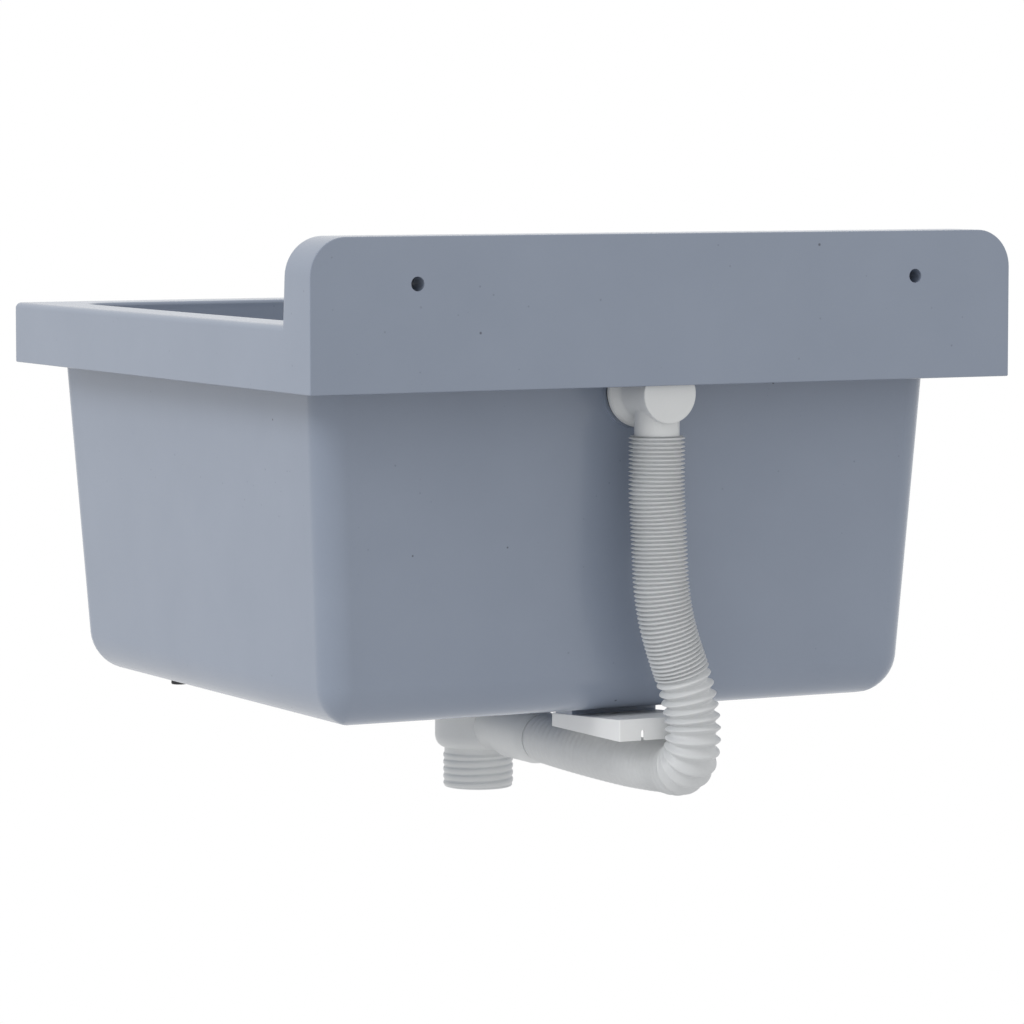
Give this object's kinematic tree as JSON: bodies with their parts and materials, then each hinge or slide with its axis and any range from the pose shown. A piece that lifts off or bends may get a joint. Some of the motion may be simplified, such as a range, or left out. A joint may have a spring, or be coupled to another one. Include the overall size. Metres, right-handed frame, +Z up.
{
  "type": "mop service sink",
  "caption": "Wall-hung moulded service sink with a low backsplash, a deep tapered bowl, an overflow joined by a ribbed hose to the waste, a lift-out strainer and a pull-up stopper.",
  "frame": {"origin": "midway between the two wall bolt holes, on the back face of the backsplash", "axes": "+X to the user's right, -Y towards the front, +Z up; the wall is the plane y = 0"},
  "size_m": [0.5, 0.48, 0.3795],
  "materials": {
    "resin": "satin, finely speckled moulded resin composite",
    "white_plastic": "white polypropylene, semi-gloss",
    "hose_plastic": "white ribbed polypropylene hose",
    "steel": "satin stainless steel",
    "brass": "plain brass insert",
    "rubber": "black rubber"
  },
  "bodies": {
    "sink": {"basin": "resin", "overflow_gasket": "rubber", "overflow_body": "white_plastic", "overflow_cap": "white_plastic", "overflow_insert": "brass", "overflow_cover": "steel", "overflow_screw": "steel", "overflow_hose": "hose_plastic", "hose_cuff": "white_plastic", "waste_flange": "steel", "flange_gasket": "rubber", "body_gasket": "rubber", "waste_body": "white_plastic", "waste_shoulder": "white_plastic", "waste_tail": "white_plastic", "waste_inlet": "white_plastic", "clamp_bridge": "white_plastic", "clamp_screw": "steel", "clamp_insert": "brass", "support_wedge": "white_plastic", "wedge_screw": "steel", "front_feet": "rubber", "foot_screws": "steel"},
    "basket": {"strainer_basket": "steel"},
    "stopper": {"stopper_post": "steel", "stopper_knob": "rubber", "stopper_seal": "rubber"}
  },
  "joints": [
    {"name": "basket_lift", "type": "slide", "parent": "sink", "child": "basket", "axis": [0, 0, 1], "range_m": [0, 0.36]},
    {"name": "stopper_pull", "type": "slide", "parent": "basket", "child": "stopper", "axis": [0, 0, 1], "range_m": [0, 0.006]}
  ]
}
